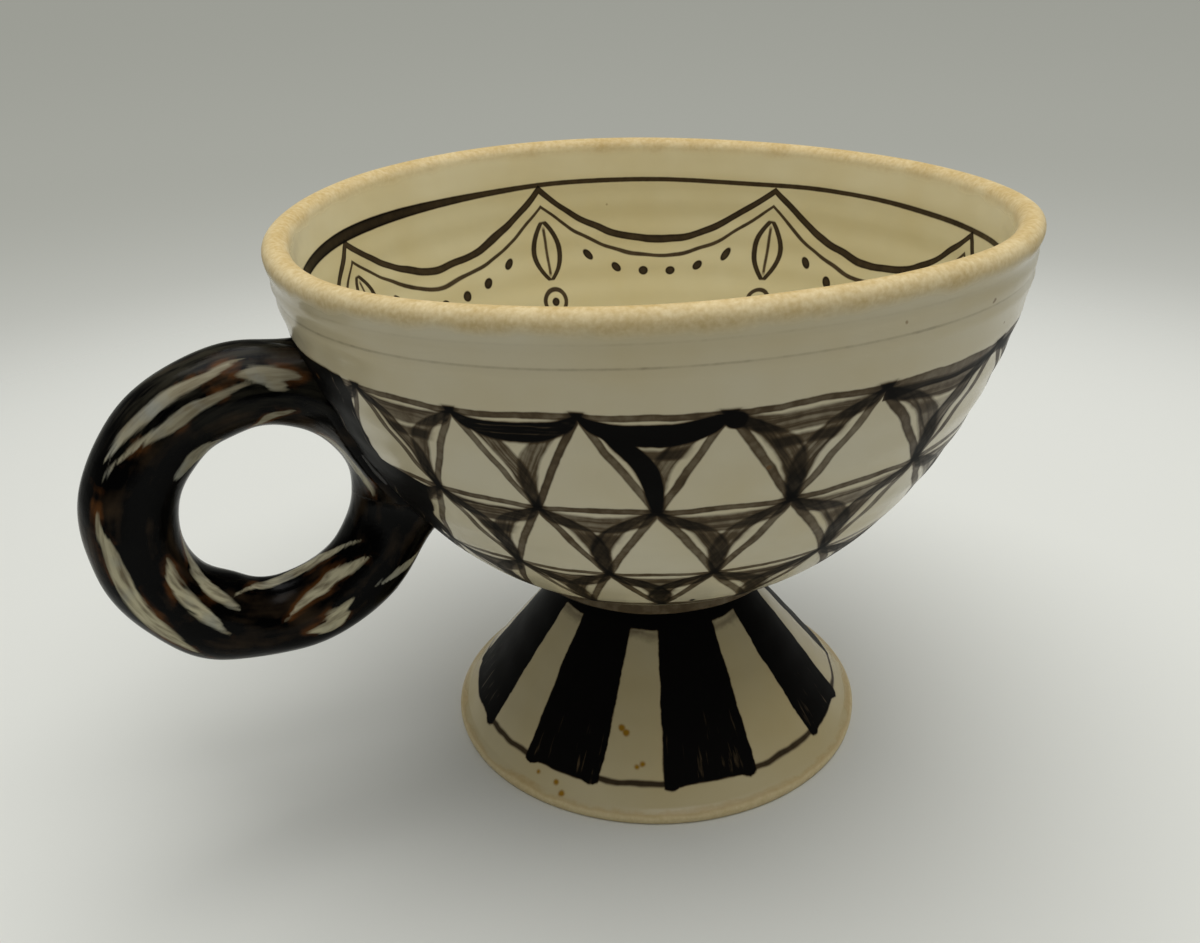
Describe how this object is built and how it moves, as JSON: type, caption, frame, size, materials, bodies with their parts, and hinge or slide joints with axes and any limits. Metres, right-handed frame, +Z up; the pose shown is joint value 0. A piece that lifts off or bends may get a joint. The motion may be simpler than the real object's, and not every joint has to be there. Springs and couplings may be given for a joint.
{
  "type": "footed mug",
  "caption": "Wide hand-thrown stoneware cup with a round-bottomed bowl, a hollow conical foot and a ring handle, for hot drinks.",
  "frame": {"origin": "on the table, under the middle of the cup's overall box", "axes": "+Z up, -X from the bowl towards the ring handle, +Y to the back"},
  "size_m": [0.1498, 0.1142, 0.0952],
  "materials": {
    "cream_glaze": "glossy cream glaze over brushed dark lines",
    "black_glaze": "glossy brushed black wash with cream streaks",
    "slip": "glazed clay slip"
  },
  "bodies": {
    "root": {"bowl": "cream_glaze", "pedestal_foot": "cream_glaze", "foot_slip_joint": "slip", "ring_handle": "black_glaze", "handle_slip_joint": "slip"}
  },
  "joints": []
}
